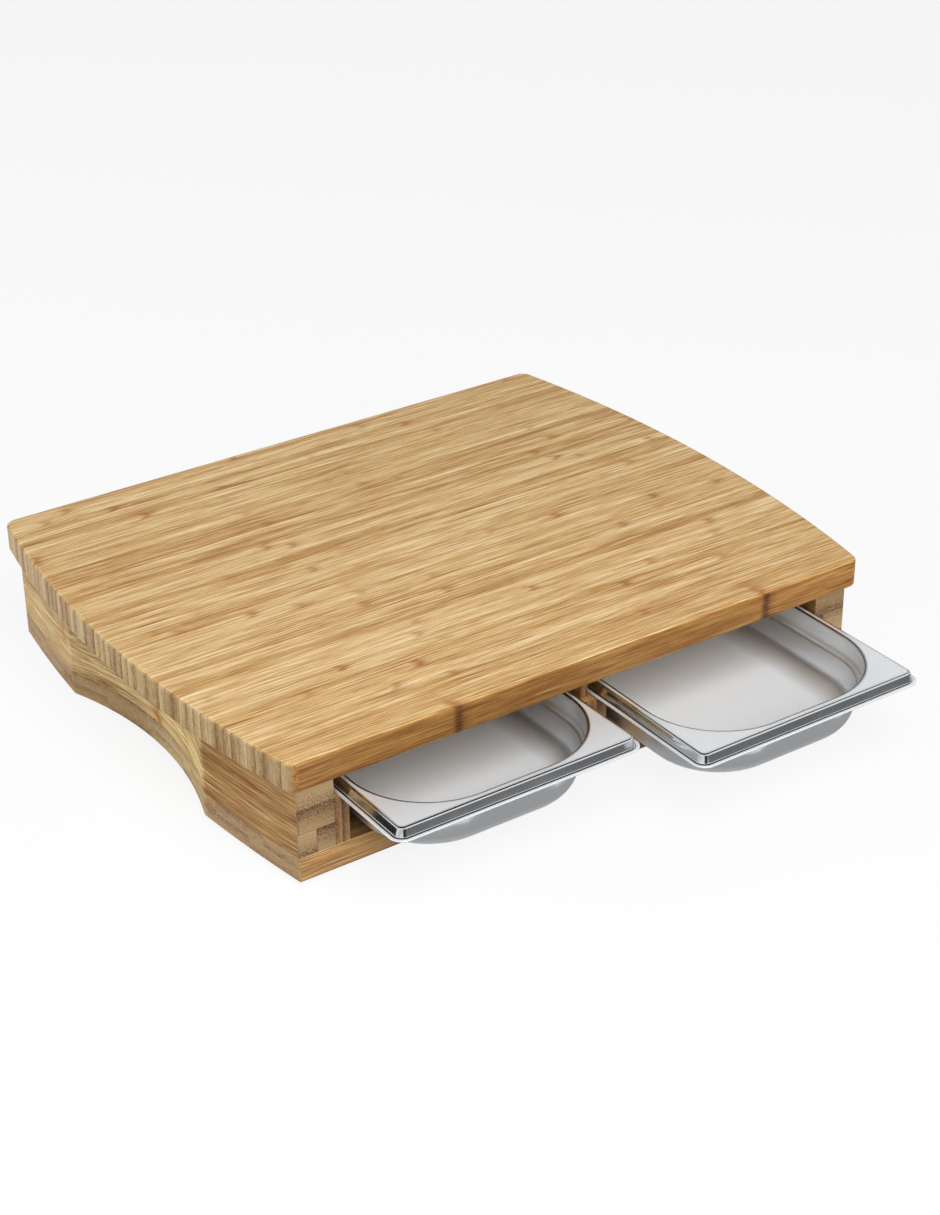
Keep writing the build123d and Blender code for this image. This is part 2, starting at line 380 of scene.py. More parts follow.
# %% Ends cut across the grain
def end_colour(r, bar, wood):
    """Each fibre bundle is a dark dot, and the dots crowd together on the dense side."""
    place = r.vector(r.math("MULTIPLY", bar["along"], 20.0), bar["through"], bar["third"])
    spots = r.add("ShaderNodeTexVoronoi", {"Vector": place, "Scale": 950.0, "Randomness": 0.9})
    crowd = r.math("ADD", r.math("MULTIPLY", bar["dense"], 0.38), 0.2)
    bar["dot"] = r.between(
        spots.outputs["Distance"], r.math("SUBTRACT", crowd, 0.12), crowd, 1.0, 0.0, smooth=True
    )
    parts = (
        (bar["luck"][1], 0.5 * wood["bar_contrast"] * wood["end_contrast"]),
        (bar["dense"], -0.3 * wood["end_contrast"]),
        (bar["medium"], 0.4),
        (bar["dot"], -0.4),
    )
    return r.ramp(r.tone(parts), wood["end_tones"])


# %% Bamboo
def bamboo(name, **sizes):
    """The finish of one piece. Its sizes say which way the bars run and how they are glued."""
    wood = {
        "joint_start": 0.0,
        "joint_pitch": 236 * mm,
        "bar_contrast": 1.0,
        "end_contrast": 1.0,
        "third_scale": 1.0,
        "glue": 0.75,
        "depth_tints": [no_tint] * 3,
        "broad_tints": [no_tint] * 2,
    }
    wood.update(sizes)
    r = Recipe(name)
    bar = find_bar(r, wood)
    add_fibres(r, bar, wood)

    colour = r.ramp(bar["tone"], wood["tones"])
    dash = r.math("MULTIPLY", r.between(bar["dash"], 0.6, 0.72), 0.3)
    colour = r.mix(dash, colour, joint_brown)

    # A bar's broad side has its own darker, more orange tone, with painted shade to the left
    left, right = wood["broad_tints"]
    tint = r.mix(r.between(bar["along"], -20 * mm, 210 * mm, smooth=True), left, right)
    colour = r.mix(bar["broad_side"], colour, tint, "MULTIPLY")
    mark, brown = joint_mark(r, bar, wood)
    colour = r.mix(mark, colour, brown)
    colour = r.mix(bar["cut"], colour, end_colour(r, bar, wood))

    # Painted light: the base is darker in front, much lighter and greyer where the finger scoop
    # begins, and a little less along it
    front, scoop, rear = wood["depth_tints"]
    tint = r.mix(r.between(bar["depth"], -30 * mm, 30 * mm, smooth=True), scoop, rear)
    tint = r.mix(r.between(bar["depth"], -92 * mm, -86 * mm), front, tint)
    colour = r.mix(1.0, colour, tint, "MULTIPLY")

    # Thin dark glue lines, which show best on the cut ends
    to_glue = []
    for share, size in (("row_share", "wall_size"), ("column_share", "face_size")):
        nearer = r.math("MINIMUM", bar[share], r.math("SUBTRACT", 1.0, bar[share]))
        to_glue.append(r.math("MULTIPLY", nearer, wood[size]))
    glue = r.between(r.math("MINIMUM", *to_glue), 0.05 * mm, 0.35 * mm, 1.0, 0.0)
    glue = r.math("MULTIPLY", glue, r.between(bar["cut"], 0.0, 1.0, 0.2, wood["glue"]))
    colour = r.mix(glue, colour, glue_brown)

    roughness = r.between(bar["fine"], 0.2, 0.8, 0.46, 0.6)
    sunk = r.math("MULTIPLY", bar["dot"], r.math("MULTIPLY", bar["cut"], -0.5))
    bump = r.add(
        "ShaderNodeBump",
        {"Height": r.math("ADD", bar["fine"], sunk), "Strength": 0.3, "Distance": 0.1 * mm},
    )
    return r.finish(base_color=colour, roughness=roughness, normal=bump.outputs[0])


# %% [markdown]
# ## The bamboo pieces
#
# The cutting board is 51 bars side by side, with the grain from left to right. The side
# panels and the ledges under the trays run from front to back. The bottom board is two
# layers thick and runs from left to right again.

# %% Bamboo colours
pale_tones = [
    (0.02, srgb(137, 91, 42)),
    (0.3, srgb(171, 131, 76)),
    (0.6, srgb(197, 163, 108)),
    (0.98, srgb(220, 199, 160)),
]
pale_end_tones = [
    (0.05, srgb(88, 64, 38)),
    (0.45, srgb(134, 105, 68)),
    (0.9, srgb(176, 154, 114)),
]
warm_tones = [
    (0.02, srgb(104, 68, 34)),
    (0.35, srgb(146, 107, 60)),
    (0.65, srgb(170, 132, 82)),
    (0.98, srgb(194, 162, 112)),
]
warm_end_tones = [
    (0.05, srgb(62, 42, 27)),
    (0.45, srgb(126, 98, 66)),
    (0.9, srgb(166, 140, 103)),
]
dark_end_tones = [
    (0.05, srgb(60, 37, 22)),
    (0.45, srgb(115, 79, 47)),
    (0.9, srgb(152, 116, 76)),
]
joint_brown = srgb(140, 76, 24)
edge_joint_brown = srgb(56, 24, 4)
glue_brown = srgb(84, 58, 36)
# The board's front edge: its own darker, more orange tone, and painted shade towards the left
edge_tone_and_shade = [(0.53, 0.4, 0.225, 1.0), (0.69, 0.52, 0.3, 1.0)]
# Painted light and sheen on the side panels: darker in front, lighter and greyer along the scoop
# and behind it
side_painted_light = [(0.84, 0.83, 0.79, 1.0), (1.4, 1.82, 2.3, 1.0), (1.12, 1.36, 1.65, 1.0)]
no_tint = (1.0, 1.0, 1.0, 1.0)
# Painted light on the bottom board along the scoop
bottom_painted_light = [no_tint, (1.42, 1.6, 1.72, 1.0), no_tint]

# %% Give the bamboo pieces their finish
board_bars = 51
board_low, board_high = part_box("top_board")
board_bar = (board_high.y - board_low.y) / board_bars
print("a bar of the board is", round(board_bar / mm, 2), "mm wide")


def dress(node, material):
    """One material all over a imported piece."""
    mesh = nodes[node].data
    mesh.materials.clear()
    mesh.materials.append(material)


board_bamboo = bamboo(
    "board bamboo",
    grain=0,
    wall=1,
    wall_size=board_bar,
    wall_start=board_low.y,
    face_size=1.0,
    face_start=-0.45,
    tones=pale_tones,
    end_tones=pale_end_tones,
    joint_start=-100 * mm,
    broad_tints=edge_tone_and_shade,
    end_contrast=0.65,
)
dress("top_board", board_bamboo)

warm = {"tones": warm_tones, "end_tones": warm_end_tones}

panel_low, panel_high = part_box("side_panel_left")
panel_bamboo = bamboo(
    "side panel bamboo",
    grain=1,
    wall=2,
    wall_size=(panel_high.z - panel_low.z) / 3,
    wall_start=panel_low.z,
    face_size=40 * mm,
    face_start=3.5 * mm,
    bar_contrast=0.7,
    third_scale=0.15,
    depth_tints=side_painted_light,
    **warm,
)
dress("side_panel_left", panel_bamboo)
dress("side_panel_right", panel_bamboo)

bottom_low, bottom_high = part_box("bottom_board")
bottom_bamboo = bamboo(
    "bottom board bamboo",
    grain=0,
    wall=2,
    wall_size=(bottom_high.z - bottom_low.z) / 2,
    wall_start=bottom_low.z,
    face_size=48 * mm,
    face_start=bottom_low.y,
    bar_contrast=0.35,
    end_contrast=0.2,
    glue=0.05,
    depth_tints=bottom_painted_light,
    **warm,
)
dress("bottom_board", bottom_bamboo)

runner_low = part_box("runner_left")[0]
ledge_bamboo = bamboo(
    "ledge bamboo",
    grain=1,
    wall=0,
    wall_size=5 * mm,
    wall_start=runner_low.x,
    face_size=1.0,
    face_start=-0.45,
    **(warm | {"end_tones": dark_end_tones}),
)
for node in ("runner_left", "runner_right", "divider_block", "divider_fin"):
    dress(node, ledge_bamboo)

wall_low, wall_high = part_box("back_wall")
wall_bamboo = bamboo(
    "back wall bamboo",
    grain=0,
    wall=1,
    wall_size=(wall_high.y - wall_low.y) / 2,
    wall_start=wall_low.y,
    face_size=20 * mm,
    face_start=wall_low.z,
    **warm,
)
dress("back_wall", wall_bamboo)

# %% [markdown]
# ## The cutting board
#
# Its outline follows a rule: two straight edges, front and back, and two sides that bow out
# as arcs of a circle. The four corners are rounded. A small profile, swept once round that
# outline, makes the edge with its rounded rims, and two flat faces close it.


# %% The bowed outline
def bowed_outline(rule, steps):
    """A closed curve. Half of the points follow the right side and half the left."""
    size = rule.size
    start = rule.shape("GeometryNodeMeshLine", {"Count": 2 * steps})
    index = rule.add("GeometryNodeInputIndex").outputs[0]
    left = rule.math("GREATER_THAN", index, steps - 0.5)
    side = rule.math("SUBTRACT", 1.0, rule.math("MULTIPLY", 2.0, left))
    count = rule.math("SUBTRACT", index, rule.math("MULTIPLY", steps, left))
    share = rule.math("DIVIDE", count, (steps - 1) / 2)
    share = rule.math("MULTIPLY", rule.math("SUBTRACT", share, 1.0), side)

    # The circle that passes through two corners and the side's middle
    half_depth = rule.math("MULTIPLY", size["Depth"], 0.5)
    square = rule.math("POWER", half_depth, 2.0)
    square = rule.math("ADD", square, rule.math("POWER", size["Bulge"], 2.0))
    radius = rule.math("DIVIDE", square, rule.math("MULTIPLY", size["Bulge"], 2.0))
    widest = rule.math("ARCSINE", rule.math("DIVIDE", half_depth, radius))
    angle = rule.math("MULTIPLY", share, widest)
    middle = rule.math("ADD", rule.math("MULTIPLY", size["Width"], 0.5), size["Bulge"])
    middle = rule.math("SUBTRACT", middle, radius)
    x = rule.math("ADD", middle, rule.math("MULTIPLY", radius, rule.math("COSINE", angle)))
    y = rule.math("MULTIPLY", radius, rule.math("SINE", angle))
    place = rule.vector(rule.math("MULTIPLY", x, side), y, 0.0)
    points = rule.shape("GeometryNodeSetPosition", {"Geometry": start, "Position": place})

    # Only the four corners are rounded
    curve = rule.shape("GeometryNodeMeshToCurve", {"Mesh": points})
    curve = rule.shape("GeometryNodeSetSplineCyclic", {"Geometry": curve, "Cyclic": True})
    corner = rule.math("GREATER_THAN", rule.math("ABSOLUTE", share), 0.999)
    radius = rule.math("MULTIPLY", corner, size["Corner Radius"])
    rounded = {"Curve": curve, "Count": 12, "Radius": radius}
    curve = rule.shape("GeometryNodeFilletCurve", rounded, mode="POLY")
    return rule.shape("GeometryNodeSetCurveNormal", {"Curve": curve}, mode="Z_UP")


# %% The edge's profile
def edge_profile(rule):
    """Inwards, down the edge and inwards again, with both bends rounded."""
    size = rule.size
    start = rule.shape("GeometryNodeMeshLine", {"Count": 4})
    index = rule.add("GeometryNodeInputIndex").outputs[0]
    far = rule.math("ABSOLUTE", rule.math("SUBTRACT", index, 1.5))
    inner = rule.math("GREATER_THAN", far, 1.0)
    x = rule.math("MULTIPLY", rule.math("MULTIPLY", inner, size["Edge Radius"]), -1.5)
    second = rule.math("SUBTRACT", rule.math("GREATER_THAN", index, 1.5), 0.5)
    y = rule.math("MULTIPLY", second, size["Thickness"])
    place = rule.vector(x, y, 0.0)
    points = rule.shape("GeometryNodeSetPosition", {"Geometry": start, "Position": place})
    curve = rule.shape("GeometryNodeMeshToCurve", {"Mesh": points})
    rounded = {"Curve": curve, "Count": 6, "Radius": size["Edge Radius"]}
    return rule.shape("GeometryNodeFilletCurve", rounded, mode="POLY")


# %% A board from its outline and its edge
def board_rule():
    sizes = ("Width", "Depth", "Bulge", "Corner Radius", "Edge Radius", "Thickness", "Middle")
    rule = Rule("bowed board", sizes)
    outline = bowed_outline(rule, steps=33)
    swept = {"Curve": outline, "Profile Curve": edge_profile(rule)}
    edge = rule.shape("GeometryNodeCurveToMesh", swept)

    # The edge's two open rims give the flat faces
    neighbours = rule.add("GeometryNodeInputMeshEdgeNeighbors").outputs[0]
    place = rule.add("GeometryNodeInputPosition").outputs[0]
    height = rule.add("ShaderNodeSeparateXYZ", {0: place}).outputs["Z"]
    upper = rule.math("GREATER_THAN", height, 0.0)
    open_rim = rule.math("LESS_THAN", neighbours, 1.5)
    loop = {"Mesh": edge, "Selection": rule.math("MULTIPLY", upper, open_rim)}
    rim = rule.shape("GeometryNodeMeshToCurve", loop)
    face = rule.shape("GeometryNodeFillCurve", {"Curve": rim}, mode="NGONS")
    half = rule.math("MULTIPLY", rule.size["Thickness"], 0.5)
    top = rule.move(face, z=half)
    bottom = rule.move(face, z=rule.math("MULTIPLY", half, -1.0))
    bottom = rule.shape("GeometryNodeFlipFaces", {"Mesh": bottom})
    closed = rule.join("GeometryNodeJoinGeometry", "Geometry", (edge, top, bottom)).outputs[0]
    welded = {"Geometry": closed, "Distance": 0.02 * mm}
    whole = rule.shape("GeometryNodeMergeByDistance", welded)
    return rule.finish(rule.move(whole, z=rule.size["Middle"]))


# %% Grow the board
board_bulge = 19 * mm
board_corner = 8 * mm
board_edge = 2 * mm
board = grow(
    "top_board_wood",
    board_rule(),
    [(0, 0, 0)],
    board_bamboo,
    {
        "Width": board_high.x - board_low.x - 2 * board_bulge,
        "Depth": board_high.y - board_low.y,
        "Bulge": board_bulge,
        "Corner Radius": board_corner,
        "Edge Radius": board_edge,
        "Thickness": board_high.z - board_low.z,
        "Middle": (board_high.z + board_low.z) / 2,
    },
)


def shade(mesh, sharp):
    """Smooth shading, broken at edges sharper than the angle. The board also breaks it round its
    large flat faces, further on.
    """
    mesh.polygons.foreach_set("use_smooth", [True] * len(mesh.polygons))
    mesh.set_sharp_from_angle(angle=math.radians(sharp))


shade(board.data, 30)
flat = {edge for face in board.data.polygons if len(face.vertices) > 40 for edge in face.edge_keys}
for edge in board.data.edges:
    if edge.key in flat:
        edge.use_edge_sharp = True
low = [min(v.co[axis] for v in board.data.vertices) for axis in range(3)]
high = [max(v.co[axis] for v in board.data.vertices) for axis in range(3)]
print("board grown from", low, "to", high, "packed", board_low, board_high)
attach(board, "board_and_base")
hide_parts("top_board")

# %% [markdown]
# ## Steel trays
#
# Each tray is pressed from one sheet of stainless steel. A pressed sheet is easiest to make
# as a loft: a list of rounded rectangles, one inside the other, that follow the sheet from
# its outer lip, up the step of the rim, over the flat flange, down the wall and across the
# floor. All have the same number of points, so the faces between them come in even rows.
# A Solidify modifier then gives the sheet its thickness.

# %% Tray sizes
tray_sheet = 0.8 * mm
lip_width = 3.0 * mm
rim_drop = 7.0 * mm
flange_width = 7.0 * mm
flange_corner = 6 * mm
well_corner = 53.0 * mm
shoulder_drop = 14.0 * mm
shoulder_width = 2.0 * mm
floor_round = 14.0 * mm
step_foot = 0.8 * mm
crest_round = 1.4 * mm
well_round = 1.3 * mm
ledge_round = 1.2 * mm
wall_lean = math.radians(7.0)
step_lean = math.radians(14.0)


# %% A rounded rectangle with a fixed number of points
corner_points = 20
side_points = 16


def rounded_rectangle(half_x, half_y, radius, z):
    """Points once round, all in one plane, from the rear end of the right side."""
    centres = [
        (half_x - radius, half_y - radius, 0),
        (-half_x + radius, half_y - radius, 90),
        (-half_x + radius, -half_y + radius, 180),
        (half_x - radius, -half_y + radius, 270),
    ]
    corners = []
    for x, y, start in centres:
        arc = []
        for step in range(corner_points + 1):
            angle = math.radians(start + 90 * step / corner_points)
            arc.append(Vector((x + radius * math.cos(angle), y + radius * math.sin(angle), z)))
        corners.append(arc)
    points = []
    for arc, following in zip(corners, corners[1:] + corners[:1]):
        points += arc
        for step in range(1, side_points):
            points.append(arc[-1].lerp(following[0], step / side_points))
    return points


print("points once round a tray:", len(rounded_rectangle(1, 2, 0.5, 0)))


# %% Stations from the lip to the middle of the floor
def arc(centre, radius, start, end, steps):
    """Points along a bend of the sheet: inset from the lip's edge, and height."""
    bend = []
    for step in range(steps + 1):
        angle = start + (end - start) * step / steps
        bend.append(
            (centre[0] + radius * math.cos(angle), centre[1] + radius * math.sin(angle))
        )
    return bend


def tray_profile(top, bottom):
    """The sheet's upper face, cut through the middle of a wall, from lip to floor."""
    lip_top = top - rim_drop + tray_sheet
    floor_top = bottom + tray_sheet
    right_angle = math.pi / 2

    # Up the step of the rim, which leans in a little
    foot = (lip_width - step_foot, lip_top + step_foot)
    profile = [(0.0, lip_top), (foot[0] - step_foot / 2, lip_top)]
    profile += arc(foot, step_foot, -right_angle, -step_lean, 5)
    rise = (top - crest_round * (1 - math.sin(step_lean))) - profile[-1][1]
    crest_start = profile[-1][0] + rise * math.tan(step_lean)
    crest = (crest_start + crest_round * math.cos(step_lean), top - crest_round)
    profile += arc(crest, crest_round, math.pi - step_lean, right_angle, 8)
    rim_end = len(profile)

    # Over the flat flange and down to the shoulder
    well_start = lip_width + flange_width
    edge = (well_start - well_round, top - well_round)
    profile += [(crest[0] + 1 * mm, top), (edge[0] - 1 * mm, top)]
    profile += arc(edge, well_round, right_angle, 0, 8)
    shoulder = top - shoulder_drop
    hollow = (well_start + ledge_round, shoulder + ledge_round)
    profile += arc(hollow, ledge_round, math.pi, 1.5 * math.pi, 6)
    lower_start = well_start + shoulder_width + shoulder_drop * math.tan(wall_lean)
    nose_round = ledge_round / 2
    nose = (lower_start - nose_round, shoulder - nose_round)
    profile += arc(nose, nose_round, right_angle, wall_lean, 5)

    # Down the lower wall, which leans in, and round into the floor
    turn_height = floor_top + floor_round
    wall_end = turn_height - floor_round * math.sin(wall_lean)
    turn_inset = well_start + shoulder_width + (top - wall_end) * math.tan(wall_lean)
    turn = (turn_inset + floor_round * math.cos(wall_lean), turn_height)
    profile += arc(turn, floor_round, math.pi + wall_lean, 1.5 * math.pi, 14)
    profile += [(turn[0] + inset, floor_top) for inset in (2 * mm, 8 * mm, 24 * mm)]
    return profile, rim_end


def corner_radius(inset, in_rim):
    """The rim turns tightly round its corners, and the well in a wide sweep."""
    if in_rim:
        return flange_corner + lip_width - inset
    return well_corner + lip_width + flange_width - inset


# %% Loft
def loft(name, rings):
    """A sheet through rings of equal length, closed over the last ring."""
    count = len(rings[0])
    points = [point for ring in rings for point in ring]
    faces = []
    for row in range(len(rings) - 1):
        for step in range(count):
            after = (step + 1) % count
            near = row * count
            far = near + count
            faces.append((near + step, near + after, far + after, far + step))
    last = (len(rings) - 1) * count
    faces.append(tuple(last + step for step in range(count)))
    mesh = bpy.data.meshes.new(name)
    mesh.from_pydata(points, [], faces)
    mesh.polygons.foreach_set("use_smooth", [True] * len(faces))
    mesh.update()
    return mesh


# %% Steel finish
def steel():
    r = Recipe("tray steel")
    place = r.add("ShaderNodeTexCoord").outputs["Object"]
    satin = r.add("ShaderNodeAttribute", attribute_name="satin").outputs["Fac"]
    cloud = r.noise(place, scale=28.0, detail=3.0)
    roughness = r.between(satin, 0.0, 1.0, 0.1, 0.55)
    roughness = r.math("ADD", roughness, r.between(cloud, 0.3, 0.7, -0.03, 0.03))

    # The dull floor scatters light like paint; the bends get painted dark reflection lines
    metallic = r.between(satin, 0.65, 1.0, 1.0, 0.24)
    colour = r.mix(cloud, srgb(240, 243, 246), srgb(234, 237, 240))
    bend = r.add("ShaderNodeAttribute", attribute_name="bend").outputs["Fac"]
    colour = r.mix(bend, colour, srgb(40, 40, 42))
    fine = r.noise(place, scale=900.0, detail=2.0)
    bump = r.add("ShaderNodeBump", {"Height": fine, "Strength": 0.03, "Distance": 0.05 * mm})
    return r.finish(
        base_color=colour, metallic=metallic, roughness=roughness, normal=bump.outputs[0]
    )


tray_steel = steel()


# %% The two trays
def row_satin(row, rim_end, rows):
    """How dull a row is, from 0 to 1: bright bends, satin flange and walls, a dull floor."""
    wall_start = rim_end + 5
    shoulder_end = rim_end + 18
    floor_rows = 3
    bend_rows = 14
    if row < 2 or row in (rim_end, rim_end + 1):
        return 0.85
    if row < wall_start:
        return 0.05
    if row < shoulder_end:
        return 0.74
    bend = (row - (rows - floor_rows - bend_rows)) / bend_rows
    return 0.62 + 0.38 * min(max(bend, 0), 1)


# Painted reflection: dark lines in the tight bends, by row. Rows are counted from the flange.
foot_painted_reflection = {-14: 0.8, -13: 0.9, -12: 0.8}
crest_painted_reflection = {-3: 0.8, -2: 0.9}
well_painted_reflection = {2: 0.6, 3: 0.9, 4: 0.9, 5: 0.9, 6: 0.6}
bend_painted_reflection = foot_painted_reflection | crest_painted_reflection | well_painted_reflection


def make_tray(node):
    low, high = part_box(node)
    middle = (low + high) / 2
    profile, rim_end = tray_profile(high.z, low.z)
    rings = []
    satin = []
    bend = []
    for row, (inset, height) in enumerate(profile):
        in_rim = row <= rim_end
        ring = rounded_rectangle(
            (high.x - low.x) / 2 - inset,
            (high.y - low.y) / 2 - inset,
            corner_radius(inset, in_rim),
            height,
        )
        rings.append([point + Vector((middle.x, middle.y, 0)) for point in ring])
        satin += [row_satin(row, rim_end, len(profile))] * len(ring)
        # How dark each row is painted, a painted reflection in the tight bends
        bend += [bend_painted_reflection.get(row - rim_end, 0.0)] * len(ring)
    mesh = loft(node + "_sheet", rings)
    for key, values in (("satin", satin), ("bend", bend)):
        mesh.attributes.new(key, "FLOAT", "POINT").data.foreach_set("value", values)
    mesh.materials.append(tray_steel)
    tray = link(node + "_pressed", mesh)
    sheet = tray.modifiers.new("sheet", "SOLIDIFY")
    sheet.thickness = tray_sheet
    sheet.offset = -1
    sheet.use_even_offset = True
    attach(tray, node)
    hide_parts(node)
    print(node, "has", len(mesh.polygons), "faces before it gets its thickness")


for node in ("tray_left", "tray_right"):
    make_tray(node)

# %% [markdown]
# ## Screws, nails and feet
#
# These stay hidden until the board is turned over. Every screw and nail of a kind has the
# same shape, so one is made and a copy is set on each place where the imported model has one.
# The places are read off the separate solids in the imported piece.


# %% Where the copies go
def solid_boxes(node):
    """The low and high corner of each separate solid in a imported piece."""
    mesh = nodes[node].data
    first = {}
    group = []
    for vertex in mesh.vertices:
        place = tuple(round(value, 6) for value in vertex.co)
        group.append(first.setdefault(place, vertex.index))

    def root(index):
        while group[index] != index:
            group[index] = group[group[index]]
            index = group[index]
        return index

    for edge in mesh.edges:
        group[root(edge.vertices[0])] = root(edge.vertices[1])
    matrix = nodes[node].matrix_world
    corners = {}
    for vertex in mesh.vertices:
        corners.setdefault(root(vertex.index), []).append(matrix @ vertex.co)
    boxes = []
    for points in corners.values():
        low = Vector([min(p[axis] for p in points) for axis in range(3)])
        high = Vector([max(p[axis] for p in points) for axis in range(3)])
        boxes.append((low, high))
    return sorted(boxes, key=lambda box: tuple(box[0]))


for node in ("base_screws", "runner_nails", "foot_screws"):
    print(node, "has", len(solid_boxes(node)), "solids")


# %% A screw or nail, and a copy at each place
def fastener_rule(name, crossed):
    """A turned head, shank and point. The head of a screw is crossed by two slots."""
    sizes = ("Head Bottom", "Head Top", "Head Height", "Shank", "Length", "Turn")
    if crossed:
        sizes += ("Drive Span", "Drive Width", "Drive Depth")
    rule = Rule(name, sizes)
    size = rule.size

    # Five rings from the head to the point, as on a lathe
    index = rule.add("GeometryNodeInputIndex").outputs[0]
    neck = 0.02 * mm
    point = 0.6 * mm
    rest = rule.math("ADD", rule.math("ADD", size["Head Height"], size["Shank"]), neck)
    shank_length = rule.math("SUBTRACT", size["Length"], rest)
    rises = (size["Head Height"], neck, shank_length, size["Shank"])
    widths = (size["Head Bottom"], size["Head Top"], size["Shank"], size["Shank"], point)
    z = 0.0
    width = widths[0]
    for step, rise in enumerate(rises, 1):
        reached = rule.math("GREATER_THAN", index, step - 0.5)
        z = rule.math("ADD", z, rule.math("MULTIPLY", reached, rise))
        change = rule.math("SUBTRACT", widths[step], widths[step - 1])
        width = rule.math("ADD", width, rule.math("MULTIPLY", reached, change))
    line = rule.shape("GeometryNodeMeshLine", {"Count": 5})
    place = rule.vector(0.0, 0.0, z)
    line = rule.shape("GeometryNodeSetPosition", {"Geometry": line, "Position": place})
    line = rule.shape("GeometryNodeMeshToCurve", {"Mesh": line})
    ring = rule.shape("GeometryNodeCurvePrimitiveCircle", {"Resolution": 40, "Radius": 1.0})
    half = rule.math("MULTIPLY", width, 0.5)
    turned = {"Curve": line, "Profile Curve": ring, "Scale": half, "Fill Caps": True}
    body = rule.shape("GeometryNodeCurveToMesh", turned)

    # The second slot goes a little deeper than the first
    if crossed:
        span, width = size["Drive Span"], size["Drive Width"]
        for x, y, more in ((span, width, 2.0), (width, span, 2.12)):
            deep = rule.math("MULTIPLY", size["Drive Depth"], more)
            slot = rule.shape("GeometryNodeMeshCube", {"Size": rule.vector(x, y, deep)})
            both = {"Mesh 1": body, "Mesh 2": slot}
            body = rule.shape("GeometryNodeMeshBoolean", both, operation="DIFFERENCE")

    # Nails are turned outwards to their own side, screws stand upright
    place = rule.add("GeometryNodeInputPosition").outputs[0]
    side = rule.math("SIGN", rule.add("ShaderNodeSeparateXYZ", {0: place}).outputs["X"])
    turn = rule.vector(0.0, rule.math("MULTIPLY", side, size["Turn"]), 0.0)
    copies = {"Points": size["Start"], "Instance": body, "Rotation": turn}
    return rule.finish(rule.shape("GeometryNodeInstanceOnPoints", copies))


# %% Zinc
def zinc():
    r = Recipe("zinc screw")
    place = r.add("ShaderNodeTexCoord").outputs["Object"]
    cloud = r.noise(place, scale=400.0, detail=3.0)
    colour = r.mix(cloud, srgb(196, 196, 190), srgb(168, 170, 168))
    roughness = r.between(cloud, 0.3, 0.7, 0.28, 0.42)
    return r.finish(base_color=colour, metallic=1.0, roughness=roughness)


# %% Grow the screws and nails
screw = fastener_rule("screw", crossed=True)
nail = fastener_rule("nail", crossed=False)
zinc_screw = zinc()
drive = {"Drive Span": 3.6 * mm, "Drive Width": 0.9 * mm, "Drive Depth": 1 * mm}
head_and_shank = ("Head Bottom", "Head Top", "Head Height", "Shank")
kinds = {
    "base_screws": (8 * mm, 4 * mm, 2.4 * mm, 4 * mm),
    "foot_screws": (6.4 * mm, 5.6 * mm, 1.5 * mm, 3 * mm),
    "runner_nails": (3.6 * mm, 3.4 * mm, 0.9 * mm, 1.8 * mm),
}
for node, widths in kinds.items():
    boxes = solid_boxes(node)
    level = node == "runner_nails"
    starts = []
    for low, high in boxes:
        middle = (low + high) / 2
        inner = low.x if middle.x > 0 else high.x
        starts.append((inner, middle.y, middle.z) if level else (middle.x, middle.y, low.z))
    low, high = boxes[0]
    sizes = dict(zip(head_and_shank, widths))
    sizes["Length"] = high.x - low.x if level else high.z - low.z
    sizes["Turn"] = math.pi / 2 if level else 0.0
    rule = nail if level else screw
    piece = grow(node + "_metal", rule, starts, zinc_screw, sizes if level else sizes | drive)
    shade(piece.data, 30)
    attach(piece, "board_and_base")
    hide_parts(node)


# %% A foot with rings on its sole
def foot_rule():
    rule = Rule("foot", ("Sole", "Top", "Height", "Hole", "Counterbore", "Step", "Groove"))
    size = rule.size
    body = rule.shape(
        "GeometryNodeMeshCone",
        {
            "Vertices": 96,
            "Side Segments": 3,
            "Fill Segments": 40,
            "Radius Bottom": rule.math("MULTIPLY", size["Sole"], 0.5),
            "Radius Top": rule.math("MULTIPLY", size["Top"], 0.5),
            "Depth": size["Height"],
        },
    )
    place = rule.add("GeometryNodeInputPosition").outputs[0]
    xyz = rule.add("ShaderNodeSeparateXYZ", {0: place}).outputs
    flat = rule.vector(xyz["X"], xyz["Y"], 0.0)
    length = rule.add("ShaderNodeVectorMath", {0: flat}, operation="LENGTH")
    from_middle = length.outputs["Value"]
    ring_pitch = 1.9 * mm
    wave = rule.math("SINE", rule.math("MULTIPLY", from_middle, 2 * math.pi / ring_pitch))
    sole = rule.math("LESS_THAN", xyz["Z"], 0.01 * mm)
    inside = rule.math("LESS_THAN", from_middle, rule.math("MULTIPLY", size["Sole"], 0.46))
    lift = rule.math("MULTIPLY", rule.math("GREATER_THAN", wave, 0.2), size["Groove"])
    lift = rule.math("MULTIPLY", rule.math("MULTIPLY", lift, sole), inside)
    grooved = {"Geometry": body, "Offset": rule.vector(0.0, 0.0, lift)}
    body = rule.shape("GeometryNodeSetPosition", grooved)

    def bore(key, top):
        tall = rule.math("MULTIPLY", top, 2.0)
        half = rule.math("MULTIPLY", size[key], 0.5)
        hole = {"Vertices": 48, "Radius": half, "Depth": tall}
        return rule.shape("GeometryNodeMeshCylinder", hole)

    through = bore("Hole", rule.math("MULTIPLY", size["Height"], 1.5))
    wide = bore("Counterbore", size["Step"])
    holes = rule.join("GeometryNodeMeshBoolean", "Mesh 2", (through, wide), operation="UNION")
    both = {"Mesh 1": body, "Mesh 2": holes.outputs[0]}
    body = rule.shape("GeometryNodeMeshBoolean", both, operation="DIFFERENCE")
    copies = {"Points": size["Start"], "Instance": body}
    return rule.finish(rule.shape("GeometryNodeInstanceOnPoints", copies))


